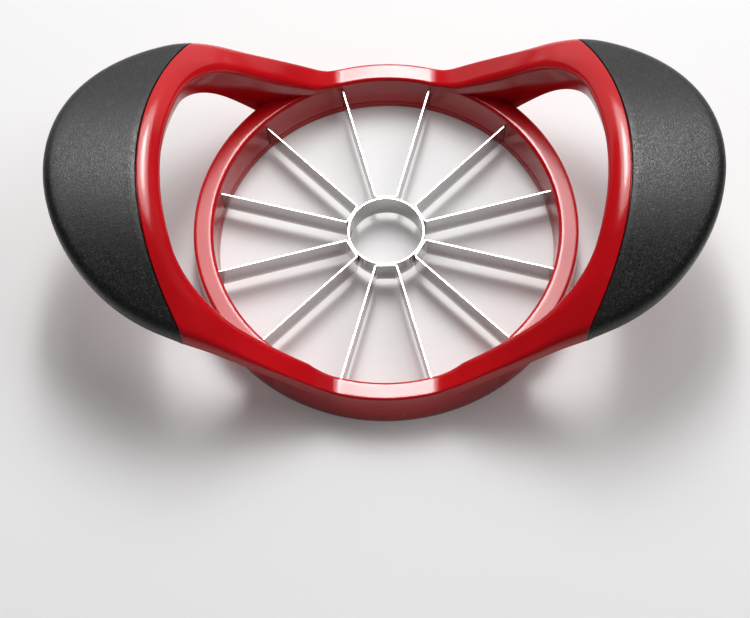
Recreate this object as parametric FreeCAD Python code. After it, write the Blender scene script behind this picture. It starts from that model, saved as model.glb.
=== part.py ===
"""Twelve-section apple slicer and corer: a rigid two-handed press.

A red moulded frame is one ring that stands on the table and two arms that climb
from its front and back to a raised handle on either side.  Six strips of steel,
each bent to a U, make the twelve cutting legs; they are spot welded to a thin core
ring and their ends hook into the wall of the frame.  A clamp ring, held by six
screws, shuts the slots from below.  Soft grips cover the outside of the handles.

Units are millimetres.  The origin is the centre of the base on the table, +X runs
along the handles, +Y to the back and +Z up.
"""
import FreeCAD, Part
import math
import os

from FreeCAD import Vector

os.makedirs("parts", exist_ok=True)

# ---- ring -------------------------------------------------------------------
RING_TOP = 15.0             # height of the flat rim
RING_OUTER_TOP = 61.25      # outer radius at the rim
RING_OUTER_FOOT = 61.5      # outer radius on the table, the wall flares a little
RING_INNER_TOP = 55.0       # inner radius at the rim
RING_INNER_FOOT = 53.7      # inner radius at the foot, the wall leans inwards
CHANNEL_INNER = 56.2        # hollow under the rim that holds the blade ends
CHANNEL_OUTER = 59.0
CHANNEL_TOP = 12.6
SLOT_WIDTH = 0.7            # slot in the inner wall for one blade leg
BOSS_WIDTH = 7.0            # screw boss that bridges the channel

# ---- clamp ring and its screws -----------------------------------------------
CLAMP_FOOT = 0.3            # lies this far above the table
CLAMP_TOP = 3.0
CLAMP_OUTER = 58.9
SCREW_COUNT = 6
SCREW_CIRCLE = 56.7         # radius of the circle of screws
SCREW_SHANK = 1.1           # radii of shank, head and driver recess
SCREW_HEAD = 1.8
SCREW_DRIVE = 0.5           # width of the cross recess
SCREW_DRIVE_DEPTH = 0.8
SCREW_HEAD_DEPTH = 1.3
SCREW_TIP = 9.6
SCREW_RECESS = 0.5          # head sits this deep in the clamp ring
PILOT_TOP = 10.4

# ---- blades -------------------------------------------------------------------
BLADE_TOP = 12.1
BLADE_FOOT = CLAMP_TOP      # the cutting edge
BLADE_THICK = 0.5
BLADE_EDGE = 0.1            # thickness left at the cutting edge
BLADE_BEVEL = 1.2           # height of the ground bevel
BLADE_BEND = 0.9            # bend radius of the centre line
CORE_OUTER = 12.25          # core ring, outer radius
CORE_WALL = 0.5
TAB_BEND = 0.5              # bend radius of the hooked end
TAB_LENGTH = 3.0            # hooked end, measured from the leg's centre line
TAB_RADIUS = CHANNEL_INNER + 0.1 + BLADE_THICK / 2
LEG_ANGLE = 15.0            # each leg lies this far from the middle of its strip
BLADE_NAMES = {
    30: "blade_back_right",
    90: "blade_back",
    150: "blade_back_left",
    210: "blade_front_left",
    270: "blade_front",
    330: "blade_front_right",
}

# ---- arms and handles, in plan -------------------------------------------------
HANDLE_CENTRE = 50.1        # centre and radius of the round end of a handle
HANDLE_RADIUS = 54.0
OPENING_CENTRE = -17.7      # inner edge of the handle: a shallow arc
OPENING_RADIUS = 86.0
OPENING_CORNER = 28.0       # corner arc between that edge and the arm
ARM_INNER_START = (18.0, 50.9)   # the arm's inner edge leaves the ring here
ARM_INNER_SLOPE = -0.217
GRIP_CENTRE = -27.7         # arc where the soft grip meets the red moulding
GRIP_RADIUS = 103.1

# ---- arms and handles, in height -----------------------------------------------
ARM_START = 19.0            # the arm leaves the ring and starts to climb here
ARM_SLOPE = 0.71
HANDLE_EDGE = 43.4          # height of the top at the widest Y of the handle
ARM_ROUND = 11.0            # tangent length of the curve from slope to level
CROWN = 0.0051              # the top falls by CROWN * y^2 across the handle
CROWN_FROM = 28.0           # the crown grows from nothing here ...
CROWN_TO = 64.0             # ... to its full value here
ARM_ROOT = 24.0             # up to this height an arm is solid over the ring
LIP_DEPTH = 5.2             # outer lip, below the top
LIP_WIDTH = 2.5
WEB_DEPTH = 10.5            # inner web, below the top, at the handle
WEB_GROWTH = 0.53           # and how much it deepens per mm towards the ring
WEB_WIDTH = 3.0
SKIN = 3.4                  # underside of the skin, below the top
GRIP_THICK = 2.0
GRIP_RETURN = 1.2           # soft layer under the lip
RIB_WIDTH = 1.8
RIB_ANGLES = (-50, -25, 0, 25, 50)
TOP_ROUND = 2.8             # rounded edges of the top, on both sides
RIM_ROUND = 0.8             # rounded edges of the flat rim
TABLE = 0.0


def smoothstep(value):
    value = min(max(value, 0.0), 1.0)
    return value * value * (3.0 - 2.0 * value)


def edge_height(x):
    """Height of the top along the outer edge: a slope, a tangent arc, a level."""
    slope_end = ARM_START + (HANDLE_EDGE - RING_TOP) / ARM_SLOPE
    angle = math.atan(ARM_SLOPE)
    radius = ARM_ROUND / math.tan(angle / 2)
    arc_end = slope_end + ARM_ROUND
    arc_start = slope_end - ARM_ROUND * math.cos(angle)
    if x <= arc_start:
        return RING_TOP + ARM_SLOPE * (x - ARM_START)
    if x >= arc_end:
        return HANDLE_EDGE
    return HANDLE_EDGE - radius + math.sqrt(radius ** 2 - (arc_end - x) ** 2)


def top_height(x, y):
    crown = CROWN * smoothstep((x - CROWN_FROM) / (CROWN_TO - CROWN_FROM))
    return edge_height(x) + crown * (HANDLE_RADIUS ** 2 - y ** 2)


def web_depth(x):
    return WEB_DEPTH + WEB_GROWTH * max(CROWN_TO - x, 0.0)


def block_below(depth):
    """Solid under the top surface of the right-hand side, lowered by depth(x)."""
    rows = []
    for i in range(39):
        x = 12.0 + 2.5 * i
        row = []
        for j in range(-7, 8):
            y = 9.5 * j
            row.append(Vector(x, y, top_height(x, y) - depth(x)))
        rows.append(row)
    surface = Part.BSplineSurface()
    surface.interpolate(rows)
    return surface.toShape().extrude(Vector(0, 0, -120))


def prism(wire, low=-20.0, high=80.0):
    face = Part.Face(wire)
    face.translate(Vector(0, 0, low))
    return face.extrude(Vector(0, 0, high - low))


def arc(start, middle, end):
    points = [Vector(p[0], p[1], 0) for p in (start, middle, end)]
    return Part.Arc(*points).toShape()


def line(start, end):
    return Part.makeLine(Vector(start[0], start[1], 0), Vector(end[0], end[1], 0))


def on_circle(centre, radius, degrees):
    angle = math.radians(degrees)
    return (centre[0] + radius * math.cos(angle), centre[1] + radius * math.sin(angle))


def angle_of(centre, point):
    return math.degrees(math.atan2(point[1] - centre[1], point[0] - centre[0]))


def flip(point):
    return (point[0], -point[1])


def outer_wire():
    """Outer outline of the right-hand arm and handle, closed by a chord inside the ring."""
    ring = RING_OUTER_TOP
    touch = (ARM_START, math.sqrt(ring ** 2 - ARM_START ** 2))
    away = (touch[0] - HANDLE_CENTRE, touch[1])
    lean = math.degrees(math.acos(HANDLE_RADIUS / math.hypot(*away)))
    meet = on_circle((HANDLE_CENTRE, 0), HANDLE_RADIUS, angle_of((0, 0), away) - lean)
    tip = (HANDLE_CENTRE + HANDLE_RADIUS, 0)
    start = on_circle((0, 0), ring, 78.0)
    ring_mid = on_circle((0, 0), ring, (78.0 + angle_of((0, 0), touch)) / 2)
    edges = [
        arc(start, ring_mid, touch),
        line(touch, meet),
        arc(meet, tip, flip(meet)),
        line(flip(meet), flip(touch)),
        arc(flip(touch), flip(ring_mid), flip(start)),
        line(flip(start), start),
    ]
    return Part.Wire(edges)


def opening_wire():
    """Inner outline of the arms and handle: arm, corner arc, shallow arc, corner arc, arm."""
    x0, y0 = ARM_INNER_START
    length = math.hypot(1.0, ARM_INNER_SLOPE)
    along = (1.0 / length, ARM_INNER_SLOPE / length)
    inward = (along[1], -along[0])
    base = (x0 + OPENING_CORNER * inward[0] - OPENING_CENTRE, y0 + OPENING_CORNER * inward[1])
    half = base[0] * along[0] + base[1] * along[1]
    rest = base[0] ** 2 + base[1] ** 2 - (OPENING_RADIUS - OPENING_CORNER) ** 2
    step = -half + math.sqrt(half ** 2 - rest)
    centre = (base[0] + OPENING_CENTRE + step * along[0], base[1] + step * along[1])
    leave = (centre[0] - OPENING_CORNER * inward[0], centre[1] - OPENING_CORNER * inward[1])
    middle = (OPENING_CENTRE, 0)
    meet = on_circle(middle, OPENING_RADIUS, angle_of(middle, centre))
    halfway = on_circle(centre, OPENING_CORNER, (angle_of(centre, leave) + angle_of(centre, meet)) / 2)
    tip = (OPENING_CENTRE + OPENING_RADIUS, 0)
    edges = [
        line((0, y0 - ARM_INNER_SLOPE * x0), leave),
        arc(leave, halfway, meet),
        arc(meet, tip, flip(meet)),
        arc(flip(meet), flip(halfway), flip(leave)),
        line(flip(leave), (0, -y0 + ARM_INNER_SLOPE * x0)),
        line((0, -y0 + ARM_INNER_SLOPE * x0), (0, y0 - ARM_INNER_SLOPE * x0)),
    ]
    return Part.Wire(edges)


def cylinder(radius, low, high, x=0.0, y=0.0):
    return Part.makeCylinder(radius, high - low, Vector(x, y, low))


def turned(points):
    """Solid of revolution about Z of a closed outline given as (radius, height)."""
    corners = [Vector(r, 0, z) for r, z in points]
    wire = Part.makePolygon(corners + corners[:1])
    return Part.Face(wire).revolve(Vector(0, 0, 0), Vector(0, 0, 1), 360)


def inner_radius(z):
    return RING_INNER_FOOT + (RING_INNER_TOP - RING_INNER_FOOT) * z / RING_TOP


def around(shape, degrees):
    copy = shape.copy()
    copy.rotate(Vector(0, 0, 0), Vector(0, 0, 1), degrees)
    return copy


def grip_zone():
    """Prism over everything outside the arc where grip and red moulding meet."""
    keep = Part.makeBox(80, 140, 100, Vector(40, -70, -20))
    return keep.cut(cylinder(GRIP_RADIUS, -20, 80, GRIP_CENTRE))


def rib_tools():
    ribs = []
    for degrees in RIB_ANGLES:
        rib = Part.makeBox(60, RIB_WIDTH, 100, Vector(0, -RIB_WIDTH / 2, -20))
        rib.rotate(Vector(0, 0, 0), Vector(0, 0, 1), degrees)
        rib.translate(Vector(HANDLE_CENTRE, 0, 0))
        ribs.append(rib)
    return ribs


def rounded_top(body, chord):
    """Round the edges between the curved top and the side walls."""
    edges = []
    for edge in body.Edges:
        points = edge.discretize(5)
        on_top = all(abs(p.z - top_height(p.x, p.y)) < 0.05 for p in points)
        on_wall = points[2].x > chord
        if on_top and on_wall:
            edges.append(edge)
    return body.makeFillet(TOP_ROUND, edges)


def arm_and_handle():
    """Right-hand side of the frame and its soft grip."""
    outline = outer_wire()
    opening = opening_wire()
    ring = cylinder(RING_OUTER_TOP, -20, RING_TOP)
    root = cylinder(RING_OUTER_TOP, -20, ARM_ROOT)
    plan = prism(outline).cut(prism(opening))
    past_web = prism(outline).cut(prism(opening.makeOffset2D(WEB_WIDTH)))
    inside_lip = prism(outline.makeOffset2D(-LIP_WIDTH))
    grip_core_plan = prism(outline.makeOffset2D(-GRIP_THICK))
    inside_core_lip = prism(outline.makeOffset2D(-GRIP_THICK - LIP_WIDTH))
    zone = grip_zone()

    top = block_below(lambda x: 0.0)
    body = plan.common(top).cut(cylinder(RING_INNER_TOP, -20, 80))
    body = rounded_top(body, outline.BoundBox.XMin + 0.1)
    body = body.cut(cylinder(RING_OUTER_TOP, -20, CHANNEL_TOP))
    body = body.cut(Part.makeBox(200, 200, 50, Vector(0, -100, TABLE - 50)))
    body = body.cut(block_below(web_depth).cut(ring))
    body = body.cut(past_web.common(block_below(lambda x: LIP_DEPTH)).cut(root))

    grip = body.common(zone)
    core_top = block_below(lambda x: GRIP_THICK)
    core = grip.common(core_top).common(grip_core_plan)
    core = core.cut(past_web.common(block_below(lambda x: LIP_DEPTH - GRIP_RETURN)))
    hollow = past_web.common(inside_core_lip).common(block_below(lambda x: SKIN))
    for rib in rib_tools():
        hollow = hollow.cut(rib)
    core = core.cut(hollow)
    soft = grip.cut(grip.common(core_top).common(inside_core_lip))
    soft = soft.cut(core)

    red = body.cut(zone)
    cavity = past_web.common(inside_lip).common(block_below(lambda x: SKIN)).cut(zone).cut(root)
    red = red.cut(cavity)
    return red.fuse(core), soft


def ring_body():
    wall = turned([
        (inner_radius(CLAMP_TOP), CLAMP_TOP),
        (CHANNEL_OUTER, CLAMP_TOP),
        (CHANNEL_OUTER, TABLE),
        (RING_OUTER_FOOT, TABLE),
        (RING_OUTER_TOP, RING_TOP),
        (RING_INNER_TOP, RING_TOP),
    ])
    rim = [edge for edge in wall.Edges if edge.BoundBox.ZMin > RING_TOP - 0.1]
    return wall.makeFillet(RIM_ROUND, rim)


def channel():
    hollow = cylinder(CHANNEL_OUTER, TABLE, CHANNEL_TOP).cut(cylinder(CHANNEL_INNER, TABLE, CHANNEL_TOP))
    for index in range(SCREW_COUNT):
        boss = Part.makeBox(20, BOSS_WIDTH, 40, Vector(50, -BOSS_WIDTH / 2, CLAMP_TOP))
        hollow = hollow.cut(around(boss, index * 360 / SCREW_COUNT))
    return hollow


def slots():
    tools = []
    for index in range(12):
        slot = Part.makeBox(5, SLOT_WIDTH, BLADE_TOP, Vector(CHANNEL_INNER - 4.5, -SLOT_WIDTH / 2, 0))
        tools.append(around(slot, LEG_ANGLE + 30 * index))
    return tools


def screw_points():
    return [on_circle((0, 0), SCREW_CIRCLE, index * 360 / SCREW_COUNT) for index in range(SCREW_COUNT)]


def make_frame(right):
    frame = ring_body().fuse(right)
    frame = frame.fuse(right.mirror(Vector(0, 0, 0), Vector(1, 0, 0)))
    frame = frame.cut(channel())
    for slot in slots():
        frame = frame.cut(slot)
    for x, y in screw_points():
        frame = frame.cut(cylinder(SCREW_SHANK, CLAMP_TOP, PILOT_TOP, x, y))
    return frame


def make_clamp_ring():
    ring = turned([
        (inner_radius(CLAMP_FOOT), CLAMP_FOOT),
        (CLAMP_OUTER, CLAMP_FOOT),
        (CLAMP_OUTER, CLAMP_TOP),
        (inner_radius(CLAMP_TOP), CLAMP_TOP),
    ])
    for x, y in screw_points():
        ring = ring.cut(cylinder(SCREW_HEAD + 0.1, 0, CLAMP_FOOT + SCREW_RECESS + SCREW_HEAD_DEPTH, x, y))
        ring = ring.cut(cylinder(SCREW_SHANK + 0.1, 0, CLAMP_TOP + 1, x, y))
    return ring


def make_screws():
    screws = []
    seat = CLAMP_FOOT + SCREW_RECESS
    for x, y in screw_points():
        screw = cylinder(SCREW_HEAD, seat, seat + SCREW_HEAD_DEPTH, x, y)
        screw = screw.fuse(cylinder(SCREW_SHANK, seat + SCREW_HEAD_DEPTH, SCREW_TIP, x, y))
        for long_x, long_y in ((SCREW_HEAD, SCREW_DRIVE), (SCREW_DRIVE, SCREW_HEAD)):
            corner = Vector(x - long_x / 2, y - long_y / 2, 0)
            screw = screw.cut(Part.makeBox(long_x, long_y, seat + SCREW_DRIVE_DEPTH, corner))
        screws.append(screw.removeSplitter())
    return Part.makeCompound(screws)


def bent_edges(points, radii):
    """Edges of straight runs through the points, each corner rounded by its radius."""
    edges = []
    start = Vector(*points[0], 0)
    for index, radius in enumerate(radii):
        corner = Vector(*points[index + 1], 0)
        back = (Vector(*points[index], 0) - corner).normalize()
        ahead = (Vector(*points[index + 2], 0) - corner).normalize()
        half = back.getAngle(ahead) / 2
        reach = radius / math.tan(half)
        leave = corner + back * reach
        join = corner + ahead * reach
        middle = corner + (back + ahead).normalize() * (radius / math.sin(half) - radius)
        edges.append(Part.makeLine(start, leave))
        edges.append(Part.Arc(leave, middle, join).toShape())
        start = join
    edges.append(Part.makeLine(start, Vector(*points[-1], 0)))
    return edges


def beside(points, offset):
    """The points of a path that runs parallel to the given one, offset to its left."""
    moved = []
    for index, point in enumerate(points):
        before = points[max(index - 1, 0)]
        after = points[min(index + 1, len(points) - 1)]
        normals = []
        for one, two in ((before, point), (point, after)):
            length = math.hypot(two[0] - one[0], two[1] - one[1])
            if length > 0:
                normals.append(((one[1] - two[1]) / length, (two[0] - one[0]) / length))
        total = (sum(n[0] for n in normals), sum(n[1] for n in normals))
        scale = offset * len(normals) / (total[0] ** 2 + total[1] ** 2)
        moved.append((point[0] + scale * total[0], point[1] + scale * total[1]))
    return moved


def strip_outline(thickness):
    """Closed outline of one steel strip: hooked end, leg, base, leg, hooked end."""
    base = CORE_OUTER + BLADE_THICK / 2
    angle = math.radians(LEG_ANGLE)
    half = []
    for side in (1, -1):
        along = (math.cos(angle), side * math.sin(angle))
        hook = (TAB_RADIUS * along[0], TAB_RADIUS * along[1])
        end = (hook[0] - side * TAB_LENGTH * along[1], hook[1] + side * TAB_LENGTH * along[0])
        half.append([end, hook, (base, side * base * math.tan(angle))])
    points = half[0] + half[1][::-1]
    left = beside(points, thickness / 2)
    right = beside(points, -thickness / 2)
    wide = thickness / 2
    left_radii = [TAB_BEND + wide, BLADE_BEND - wide, BLADE_BEND - wide, TAB_BEND + wide]
    right_radii = [TAB_BEND - wide, BLADE_BEND + wide, BLADE_BEND + wide, TAB_BEND - wide]
    edges = bent_edges(left, left_radii)
    edges.append(line(left[-1], right[-1]))
    edges += bent_edges(right[::-1], right_radii[::-1])
    edges.append(line(right[0], left[0]))
    return Part.Wire(edges)


def make_blade(direction):
    full = strip_outline(BLADE_THICK)
    sharp = strip_outline(BLADE_EDGE)
    shoulder = BLADE_FOOT + BLADE_BEVEL
    full.translate(Vector(0, 0, shoulder))
    sharp.translate(Vector(0, 0, BLADE_FOOT))
    body = Part.Face(full).extrude(Vector(0, 0, BLADE_TOP - shoulder))
    edge = Part.makeLoft([sharp, full], True, True)
    return around(body.fuse(edge).removeSplitter(), direction)


def make_core_ring():
    inner = CORE_OUTER - CORE_WALL
    return turned([
        (CORE_OUTER, BLADE_FOOT + BLADE_BEVEL),
        (CORE_OUTER, BLADE_TOP),
        (inner, BLADE_TOP),
        (inner, BLADE_FOOT),
        (inner + BLADE_EDGE, BLADE_FOOT),
    ])


def save(node, shape):
    print(node, "valid" if shape.isValid() else "INVALID", "solids", len(shape.Solids),
          "volume", round(shape.Volume, 1))
    shape.exportStep("parts/" + node + ".step")


def main():
    handle, grip = arm_and_handle()
    mirror = (Vector(0, 0, 0), Vector(1, 0, 0))
    save("frame", make_frame(handle))
    save("clamp_ring", make_clamp_ring())
    save("clamp_screws", make_screws())
    save("core_ring", make_core_ring())
    for direction, node in BLADE_NAMES.items():
        save(node, make_blade(direction))
    save("grip_right", grip)
    save("grip_left", grip.mirror(*mirror))


main()
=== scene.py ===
"""Two-handed apple slicer: moulded ring with raised handles, soft grips, blade strips and core cutter."""
from math import acos, atan, atan2, cos, hypot, pi, radians, sin, sqrt, tan

import bmesh
import bpy
import numpy as np
from mathutils import Matrix, Vector


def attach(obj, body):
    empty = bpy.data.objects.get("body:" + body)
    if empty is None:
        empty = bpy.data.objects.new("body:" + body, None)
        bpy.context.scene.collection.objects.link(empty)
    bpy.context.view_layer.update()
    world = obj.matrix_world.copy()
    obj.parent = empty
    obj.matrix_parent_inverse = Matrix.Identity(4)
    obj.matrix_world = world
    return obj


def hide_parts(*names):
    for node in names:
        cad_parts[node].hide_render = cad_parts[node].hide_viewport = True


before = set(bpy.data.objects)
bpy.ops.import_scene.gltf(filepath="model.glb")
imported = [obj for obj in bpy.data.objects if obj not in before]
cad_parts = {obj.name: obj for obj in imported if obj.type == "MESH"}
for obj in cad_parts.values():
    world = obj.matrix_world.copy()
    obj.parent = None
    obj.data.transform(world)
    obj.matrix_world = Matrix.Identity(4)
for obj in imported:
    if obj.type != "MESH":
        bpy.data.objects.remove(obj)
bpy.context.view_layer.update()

bl_info = {
    "name": "Apple Slicer",
    "version": (1, 0, 0),
    "blender": (4, 5, 0),
    "location": "View3D > Sidebar > Slicer",
    "description": "Builds a two-handed apple slicer: ring, handles, grips, blades, core and clamp ring",
    "category": "Mesh",
}

# Lengths are in millimetres and angles in degrees, unless a comment says otherwise.
MM = 0.001  # one millimetre in metres
RING_TOP = 15.0
RING_OUTER_TOP = 61.25
RING_OUTER_FOOT = 61.5
RING_INNER_TOP = 55.0
RING_INNER_FOOT = 53.7
RING_MIDDLE = 58.0
RING_FADE = (60.2, 61.1)  # span of radius where the arms stop reaching down into the ring
OUTER_ROWS = (2.0, 8.0)  # more rows of points on the ring's outer wall,
TOP_ROWS = (60.0, 59.0, 58.0, 57.0)  # rim
INNER_ROWS = (12.0, 8.0, 3.4)  # and inner wall, for even shading
INNER_ROUND = 1.2  # rounding of the rim's inner edge
BEVEL = 0.3  # along lower edges
BEVEL_CUT = 0.3  # share of its radius that a rounding cuts off a corner
OVERLAP = 0.4  # joined solids reach this far into each other
CUT = 1.0  # and cutting ones out of what they cut
CHANNEL_INNER = 56.2
CHANNEL_OUTER = 59.0
CHANNEL_TOP = 12.6
CLAMP_FOOT = 0.3
CLAMP_TOP = 3.0
CLAMP_OUTER = 58.9
CLAMP_MIDDLE = 56.5
CLEARANCE = 0.1  # round the screws and over the clamp ring
SCREW_CIRCLE = 56.7
SCREW_TURNS = range(0, 360, 60)
SCREW_SEAT = 0.8
SCREW_HEAD = 1.8
SCREW_HEAD_DEPTH = 1.3
SCREW_DOME = ((0.5, 0.0), (0.15, 0.12), (0.0, 0.4))  # insets and rises of the head's rounded top
SCREW_BEVEL = 0.1
SCREW_SHANK = 1.1
SCREW_TIP = 9.6
SCREW_POINT = 0.3
SCREW_DRIVE = 0.5  # width of the cross recess
SCREW_DRIVE_DEPTH = 0.8
SCREW_TURN = 0.7  # from each screw to the next, in radians
THREAD_START = 0.6  # from the head
THREAD_END = 1.2  # from the tip
THREAD_PITCH = 0.7
THREAD_DEPTH = 0.28
THREAD_WIDTH = 0.5
PILOT_TOP = 10.4
BOSS_WIDTH = 7.0
SLOT_SPAN = (51.7, 56.7)  # of radius
SLOT_WIDTH = 0.7
LEG_TURNS = range(15, 360, 30)
LEG_ANGLE = radians(LEG_TURNS[0])  # in radians
BLADE_TOP = 12.1
BLADE_FOOT = 3.0
BLADE_BEVEL = 1.2
BLADE_EDGE = 0.1
BLADE_MIDDLE = 8.0  # height of one more row of points, for even shading
BLADE_NICK = 0.07  # bevel along the upper edges of strips and core cutter
CORE_OUTER = 12.25
CORE_WALL = 0.5
CORE_MIDDLE = 12.0
TAB_RADIUS = 56.55
TAB_LENGTH = 3.0
TAB_BEND = 0.5
HANDLE_CENTRE = 50.1
HANDLE_RADIUS = 54.0
HANDLE_EDGE = 43.4
ARM_START = 19.0
ARM_SLOPE = 0.71
ARM_ROUND = 11.0
ROOT_ROUND = 5.0  # tangent length of the curve from the rim up into the arm
ROOT_TOP = 24.0  # up to this height an arm is solid over the ring
ROOT_FOOT = 13.2
ROOT_WALL = 61.23  # radius of that solid's outer wall, just inside the ring's
ROOT_INSET = 1.0  # it stays this far inside the arm's inner wall,
ROOT_COVER = 1.6  # this far below the arm's top,
ROOT_THINNEST = 0.3  # and ends where it would be thinner than this
ROOT_RAYS = (92.0, 40.0, -0.5)
CROWN = 0.0051
CROWN_SPAN = (28.0, 64.0)  # where, along X, the crown grows,
OUTER_SPAN = (24.0, 60.0)  # the outer edge's rounding,
INNER_SPAN = (14.0, 40.0)  # the inner edge's
BAND_SPAN = (46.0, 64.0)  # and the width of the band beside the grip
WALL_SHARE = 0.92  # the most of a section's width that its two roundings take up
OPENING_CENTRE = -17.7
OPENING_RADIUS = 86.0
OPENING_CORNER = 28.0
ARM_INNER_START = (18.0, 50.9)
ARM_INNER_SLOPE = -0.217
GRIP_CENTRE = -27.7
GRIP_RADIUS = 103.1
GRIP_THICK = 2.0
GRIP_BED = 2.2  # depth of the moulding under the grip
GRIP_RETURN = 1.2
GRIP_SOFT = 0.6  # rounding of the grip's lower edge
GRIP_TIP = 0.08  # the grip starts where it is this wide
SEAM_ROUND = 0.35  # rounding on both sides of the seam between moulding and grip
BED_ROUND = 0.4
LEAST_STEP = 0.05  # least height of a step between two surfaces
LIP_DEPTH = 5.2
LIP_WIDTH = 2.5
LIP_BEVEL = 0.2
LIP_SHARE = 0.38  # on narrow arms the lip and the web take up these shares of the width
WEB_SHARE = 0.45
WEB_DEPTH = 10.5
WEB_GROWTH = 0.53
WEB_WIDTH = 3.0
WEB_LEAN = 1.2  # the handle's inner wall leans away from the opening by this much
SKIN = 3.4
RIB_WIDTH = 1.8
RIB_TOP = 2.4  # depths of a rib's top and foot
RIB_FOOT = 4.0
RIB_INSETS = (1.5, 3.4)  # a rib starts this far inside the web and ends this far inside the outline
RIB_ANGLES = (-50, -25, 0, 25, 50)
RAY_CENTRE = 20.0  # sections across the handles lie on rays from (RAY_CENTRE, 0),
RAY_SPAN = (20.0, 110.0)  # measured between these distances
RAY_STEP = 0.04
RAY_INSET = 0.005  # points on the outline lie this far inside it
RAY_FIRST = 97.0
RAY_COUNT = 64  # rays from past a corner to the handle's middle
ARM_COUNT = 72  # rays from the first to the corner
ARM_STEPS = np.array([0.6, 0.3, 0.1, 0.0])  # and the last of them, before the corner
CORNER_STEPS = np.array([0.1, 0.25, 0.5, 0.8, 1.2, 1.7, 2.3])  # from a corner to the next rays
SHARP_ANGLE = 35  # edges sharper than this stay sharp
STEEL_SHARP_ANGLE = 30
MERGE = 2e-6  # points closer than this become one, in metres
FINE_MERGE = 1e-6  # the same after a Boolean
STRIPS = {
    "blade_back_right": 30, "blade_back": 90, "blade_back_left": 150,
    "blade_front_left": 210, "blade_front": 270, "blade_front_right": 330,
}
FLOOR_HALF = 5000.0
FLOOR_STEPS = 12
FLOOR_DROP = 0.05  # the floor lies this far below the foot
NODE_SPACE = 220
NODES_IN_ROW = 6

# Lamps: size, place and aim in metres, and whether finishes mirror them.
LAMPS = {
    "key": ((0.37, 0.74), (0.0, 0.45, 0.82), (0.0, 0.0, 0.03), True),
    "accent": ((0.11, 0.40), (0.0, 0.44, 0.80), (0.0, 0.0, 0.03), True),
    "fill": ((1.0, 1.0), (0.70, 0.25, 1.00), (0.0, 0.0, 0.03), False),
    "backdrop": ((5.4, 2.0), (-0.1, 1.9, 0.9), (0.0, 0.0, 0.1), True),
}
# Camera: place and aim in metres.
CAMERA_PLACE = (0.0127, -0.4258, 0.7766)
CAMERA_AIM = (-0.00375, -0.02182, 0.0)
CAMERA_ROLL = radians(2.56)  # in radians
CAMERA_LENS = 131.7


# ---- shape of the moulding


def grown(value, span):
    """0 before the span, 1 after it, and a soft rise between."""
    share = np.clip((value - span[0]) / (span[1] - span[0]), 0.0, 1.0)
    return share * share * (3.0 - 2.0 * share)


def edge_height(x):
    """Height along the outer edge: rim level, curve, slope, curve, handle level."""
    angle = atan(ARM_SLOPE)
    slope_end = ARM_START + (HANDLE_EDGE - RING_TOP) / ARM_SLOPE
    top_radius = ARM_ROUND / tan(angle / 2)
    top_end = slope_end + ARM_ROUND
    top_start = slope_end - ARM_ROUND * cos(angle)
    root_radius = ROOT_ROUND / tan(angle / 2)
    root_start = ARM_START - ROOT_ROUND
    root_end = ARM_START + ROOT_ROUND * cos(angle)
    slope = RING_TOP + ARM_SLOPE * (x - ARM_START)
    into_top = HANDLE_EDGE - top_radius + np.sqrt(np.maximum(top_radius ** 2 - (top_end - x) ** 2, 0))
    into_root = RING_TOP + root_radius - np.sqrt(np.maximum(root_radius ** 2 - (x - root_start) ** 2, 0))
    return np.select(
        [x <= root_start, x <= root_end, x <= top_start, x <= top_end],
        [RING_TOP + 0 * x, into_root, slope, into_top],
        HANDLE_EDGE + 0 * x,
    )


def top_height(x, y):
    return edge_height(x) + CROWN * grown(x, CROWN_SPAN) * (HANDLE_RADIUS ** 2 - y ** 2)


def web_depth(x):
    return WEB_DEPTH + WEB_GROWTH * np.maximum(CROWN_SPAN[1] - x, 0.0)


def inner_radius(z):
    return RING_INNER_FOOT + (RING_INNER_TOP - RING_INNER_FOOT) * z / RING_TOP


def outline_depth(x, y):
    """Distance inside the outer outline of the right-hand arm and handle."""
    y = np.abs(y)
    touch = (ARM_START, sqrt(RING_OUTER_TOP ** 2 - ARM_START ** 2))
    away = (touch[0] - HANDLE_CENTRE, touch[1])
    facing = atan2(away[1], away[0]) - acos(HANDLE_RADIUS / hypot(*away))
    normal = (cos(facing), sin(facing))
    along = (x - HANDLE_CENTRE) * -normal[1] + y * normal[0]
    straight = HANDLE_RADIUS - (x - HANDLE_CENTRE) * normal[0] - y * normal[1]
    return np.select(
        [along <= 0, x * touch[1] >= y * touch[0]],
        [HANDLE_RADIUS - np.hypot(x - HANDLE_CENTRE, y), straight],
        RING_OUTER_TOP - np.hypot(x, y),
    )


def opening_corner():
    """Centre of the opening's corner arc, and the normals where that arc starts and ends."""
    length = hypot(1.0, ARM_INNER_SLOPE)
    along = (1.0 / length, ARM_INNER_SLOPE / length)
    normal = (-along[1], along[0])
    x = ARM_INNER_START[0] - OPENING_CORNER * normal[0] - OPENING_CENTRE
    y = ARM_INNER_START[1] - OPENING_CORNER * normal[1]
    half = x * along[0] + y * along[1]
    rest = x * x + y * y - (OPENING_RADIUS - OPENING_CORNER) ** 2
    step = -half + sqrt(half * half - rest)
    centre = (x + OPENING_CENTRE + step * along[0], y + step * along[1])
    return centre, atan2(normal[1], normal[0]), atan2(centre[1], centre[0] - OPENING_CENTRE)


def opening_distance(x, y):
    """Distance outside the opening between ring and handle, and outside the bore over the ring."""
    y = np.abs(y)
    (cx, cy), leave, meet = opening_corner()
    angle = np.arctan2(y - cy, x - cx)
    beyond_line = (x - cx) * cos(leave) + (y - cy) * sin(leave) - OPENING_CORNER
    distance = np.select(
        [angle > leave, angle < meet],
        [beyond_line, np.hypot(x - OPENING_CENTRE, y) - OPENING_RADIUS],
        np.hypot(x - cx, y - cy) - OPENING_CORNER,
    )
    return np.minimum(distance, np.hypot(x, y) - RING_INNER_TOP)


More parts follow.
